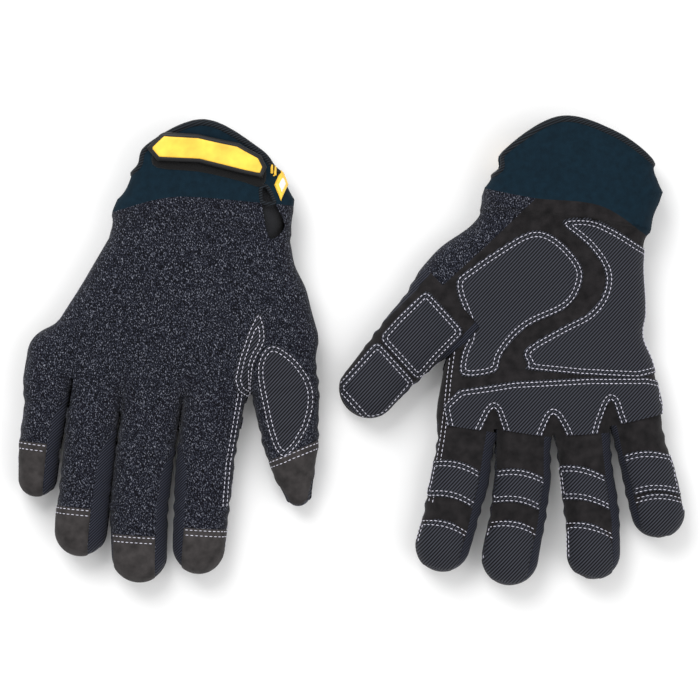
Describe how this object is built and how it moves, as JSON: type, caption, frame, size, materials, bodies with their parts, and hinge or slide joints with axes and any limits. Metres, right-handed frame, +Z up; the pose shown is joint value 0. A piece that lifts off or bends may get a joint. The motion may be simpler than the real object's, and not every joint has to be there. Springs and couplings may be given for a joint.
{
  "type": "work gloves",
  "caption": "Pair of padded work gloves lying side by side, with patched palms, bending fingers and thumbs, and wrist cuffs closed by hook-and-loop straps.",
  "frame": {"origin": "middle of the pair's bounding box, on the surface they lie on", "axes": "+X across the pair, +Y towards the cuffs, +Z up off the surface"},
  "size_m": [0.357, 0.2532, 0.0357],
  "materials": {
    "knit": "stretch knit",
    "suede": "synthetic suede",
    "nylon": "ribbed coated nylon",
    "lining": "soft fleece",
    "neoprene": "fabric faced neoprene",
    "binding": "woven elastic",
    "loop": "hook and loop pile",
    "moulded": "matt moulded rubber",
    "inlay": "yellow rubber"
  },
  "bodies": {
    "a_hand": {"a_thenar_patch": "nylon", "a_hypothenar_patch": "nylon", "a_knuckle_patch": "nylon", "a_back_panel": "knit", "a_palm_panel": "suede", "a_lining": "lining", "a_cuff": "neoprene", "a_cuff_binding": "binding", "a_loop_pad": "loop"},
    "a_strap": {"a_strap": "loop", "a_pull_tab": "moulded", "a_tab_inlay": "inlay"},
    "a_index_mid": {"a_index_mid_back": "knit", "a_index_mid_palm": "suede"},
    "a_index_tip": {"a_index_tip_back": "knit", "a_index_tip_palm": "suede"},
    "a_middle_mid": {"a_middle_mid_back": "knit", "a_middle_mid_palm": "suede"},
    "a_middle_tip": {"a_middle_tip_back": "knit", "a_middle_tip_palm": "suede"},
    "a_ring_mid": {"a_ring_mid_back": "knit", "a_ring_mid_palm": "suede"},
    "a_ring_tip": {"a_ring_tip_back": "knit", "a_ring_tip_palm": "suede"},
    "a_little_mid": {"a_little_mid_back": "knit", "a_little_mid_palm": "suede"},
    "a_little_tip": {"a_little_tip_back": "knit", "a_little_tip_palm": "suede"},
    "a_thumb_mid": {"a_thumb_mid": "suede"},
    "a_thumb_tip": {"a_thumb_tip": "suede"},
    "b_hand": {"b_thenar_patch": "nylon", "b_hypothenar_patch": "nylon", "b_knuckle_patch": "nylon", "b_back_panel": "knit", "b_palm_panel": "suede", "b_lining": "lining", "b_cuff": "neoprene", "b_cuff_binding": "binding", "b_loop_pad": "loop"},
    "b_strap": {"b_strap": "loop", "b_pull_tab": "moulded", "b_tab_inlay": "inlay"},
    "b_index_mid": {"b_index_mid_back": "knit", "b_index_mid_palm": "suede"},
    "b_index_tip": {"b_index_tip_back": "knit", "b_index_tip_palm": "suede"},
    "b_middle_mid": {"b_middle_mid_back": "knit", "b_middle_mid_palm": "suede"},
    "b_middle_tip": {"b_middle_tip_back": "knit", "b_middle_tip_palm": "suede"},
    "b_ring_mid": {"b_ring_mid_back": "knit", "b_ring_mid_palm": "suede"},
    "b_ring_tip": {"b_ring_tip_back": "knit", "b_ring_tip_palm": "suede"},
    "b_little_mid": {"b_little_mid_back": "knit", "b_little_mid_palm": "suede"},
    "b_little_tip": {"b_little_tip_back": "knit", "b_little_tip_palm": "suede"},
    "b_thumb_mid": {"b_thumb_mid": "suede"},
    "b_thumb_tip": {"b_thumb_tip": "suede"}
  },
  "joints": [
    {"name": "b_lift_off", "type": "slide", "parent": "a_hand", "child": "b_hand", "axis": [0, 0, 1], "range_m": [0, 0.15]},
    {"name": "a_strap_open", "type": "hinge", "parent": "a_hand", "child": "a_strap", "pos_m": [-0.04264, 0.0993, 0.0323], "axis": [0.1104, 0.9939, 0], "range_deg": [0, 110]},
    {"name": "a_index_mid_bend", "type": "hinge", "parent": "a_hand", "child": "a_index_mid", "pos_m": [-0.0776, -0.05243, 0.013], "axis": [0.9982, -0.0593, 0], "range_deg": [0, 60]},
    {"name": "a_index_tip_bend", "type": "hinge", "parent": "a_index_mid", "child": "a_index_tip", "pos_m": [-0.07949, -0.08437, 0.013], "axis": [0.9982, -0.0593, 0], "range_deg": [0, 60]},
    {"name": "a_middle_mid_bend", "type": "hinge", "parent": "a_hand", "child": "a_middle_mid", "pos_m": [-0.11024, -0.05325, 0.013], "axis": [0.9981, -0.061, 0], "range_deg": [0, 60]},
    {"name": "a_middle_tip_bend", "type": "hinge", "parent": "a_middle_mid", "child": "a_middle_tip", "pos_m": [-0.11213, -0.08419, 0.013], "axis": [0.9981, -0.061, 0], "range_deg": [0, 60]},
    {"name": "a_ring_mid_bend", "type": "hinge", "parent": "a_hand", "child": "a_ring_mid", "pos_m": [-0.13961, -0.04308, 0.013], "axis": [0.996, -0.0889, 0], "range_deg": [0, 60]},
    {"name": "a_ring_tip_bend", "type": "hinge", "parent": "a_ring_mid", "child": "a_ring_tip", "pos_m": [-0.14228, -0.07296, 0.013], "axis": [0.996, -0.0889, 0], "range_deg": [0, 60]},
    {"name": "a_little_mid_bend", "type": "hinge", "parent": "a_hand", "child": "a_little_mid", "pos_m": [-0.16337, -0.02422, 0.013], "axis": [0.9925, -0.1219, 0], "range_deg": [0, 60]},
    {"name": "a_little_tip_bend", "type": "hinge", "parent": "a_little_mid", "child": "a_little_tip", "pos_m": [-0.16654, -0.05003, 0.013], "axis": [0.9925, -0.1219, 0], "range_deg": [0, 60]},
    {"name": "a_thumb_mid_bend", "type": "hinge", "parent": "a_hand", "child": "a_thumb_mid", "pos_m": [-0.03411, -0.0175, 0.013], "axis": [0.9925, 0.1219, 0], "range_deg": [0, 60]},
    {"name": "a_thumb_tip_bend", "type": "hinge", "parent": "a_thumb_mid", "child": "a_thumb_tip", "pos_m": [-0.03058, -0.04629, 0.013], "axis": [0.9925, 0.1219, 0], "range_deg": [0, 60]},
    {"name": "b_strap_open", "type": "hinge", "parent": "b_hand", "child": "b_strap", "pos_m": [0.08797, 0.10104, 0.0034], "axis": [0.1437, 0.9896, 0], "range_deg": [0, 110]},
    {"name": "b_index_mid_bend", "type": "hinge", "parent": "b_hand", "child": "b_index_mid", "pos_m": [0.06271, -0.05304, 0.013], "axis": [-0.9877, 0.1564, 0], "range_deg": [0, 60]},
    {"name": "b_index_tip_bend", "type": "hinge", "parent": "b_index_mid", "child": "b_index_tip", "pos_m": [0.0577, -0.08464, 0.013], "axis": [-0.9877, 0.1564, 0], "range_deg": [0, 60]},
    {"name": "b_middle_mid_bend", "type": "hinge", "parent": "b_hand", "child": "b_middle_mid", "pos_m": [0.09525, -0.05601, 0.013], "axis": [-0.9888, 0.1495, 0], "range_deg": [0, 60]},
    {"name": "b_middle_tip_bend", "type": "hinge", "parent": "b_middle_mid", "child": "b_middle_tip", "pos_m": [0.09061, -0.08666, 0.013], "axis": [-0.9888, 0.1495, 0], "range_deg": [0, 60]},
    {"name": "b_ring_mid_bend", "type": "hinge", "parent": "b_hand", "child": "b_ring_mid", "pos_m": [0.12691, -0.05611, 0.013], "axis": [-0.9985, -0.0541, 0], "range_deg": [0, 60]},
    {"name": "b_ring_tip_bend", "type": "hinge", "parent": "b_ring_mid", "child": "b_ring_tip", "pos_m": [0.12853, -0.08607, 0.013], "axis": [-0.9985, -0.0541, 0], "range_deg": [0, 60]},
    {"name": "b_little_mid_bend", "type": "hinge", "parent": "b_hand", "child": "b_little_mid", "pos_m": [0.15618, -0.04831, 0.013], "axis": [-0.9728, -0.2317, 0], "range_deg": [0, 60]},
    {"name": "b_little_tip_bend", "type": "hinge", "parent": "b_little_mid", "child": "b_little_tip", "pos_m": [0.16221, -0.0736, 0.013], "axis": [-0.9728, -0.2317, 0], "range_deg": [0, 60]},
    {"name": "b_thumb_mid_bend", "type": "hinge", "parent": "b_hand", "child": "b_thumb_mid", "pos_m": [0.04879, 0.01871, 0.013], "axis": [-0.6717, 0.7408, 0], "range_deg": [0, 60]},
    {"name": "b_thumb_tip_bend", "type": "hinge", "parent": "b_thumb_mid", "child": "b_thumb_tip", "pos_m": [0.02508, -0.00279, 0.013], "axis": [-0.6717, 0.7408, 0], "range_deg": [0, 60]}
  ]
}
